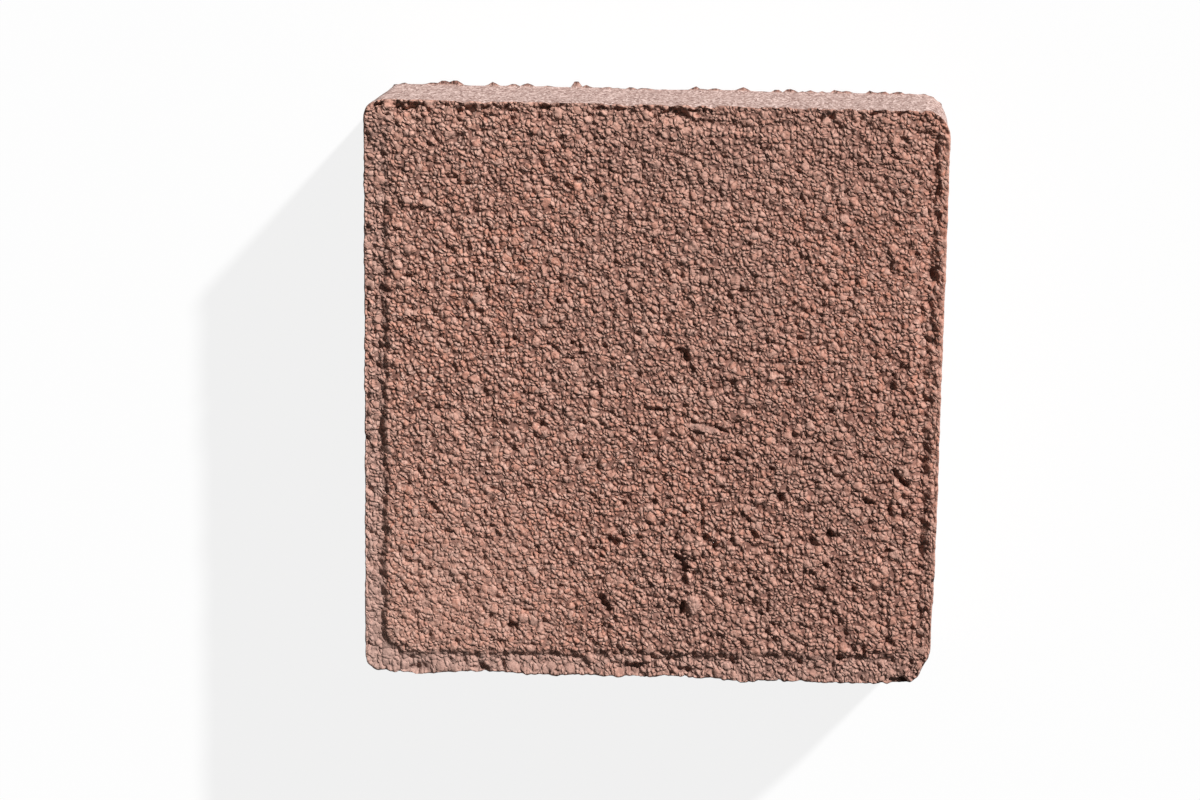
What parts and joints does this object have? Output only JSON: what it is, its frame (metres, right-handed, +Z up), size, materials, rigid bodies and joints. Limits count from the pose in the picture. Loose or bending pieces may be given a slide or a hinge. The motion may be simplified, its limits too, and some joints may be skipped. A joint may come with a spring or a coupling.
{
  "type": "concrete paving stone",
  "caption": "Square paving block of red-brown pressed concrete, with a raised granular wearing field, a lower pressed ledge around it, rounded corners and a flat bed face.",
  "frame": {"origin": "centre of the flat bed face that the stone lies on", "axes": "+Z up through the thickness to the wearing face; +X and +Y along the plan edges, with the worn corner at +X +Y and the broken corner at +X -Y"},
  "size_m": [0.2, 0.2, 0.06],
  "materials": {
    "pigmented_concrete": "open granular red-brown concrete on the wearing face, with smooth paler mould-faced sides"
  },
  "bodies": {
    "root": {"paving_stone": "pigmented_concrete"}
  },
  "joints": []
}
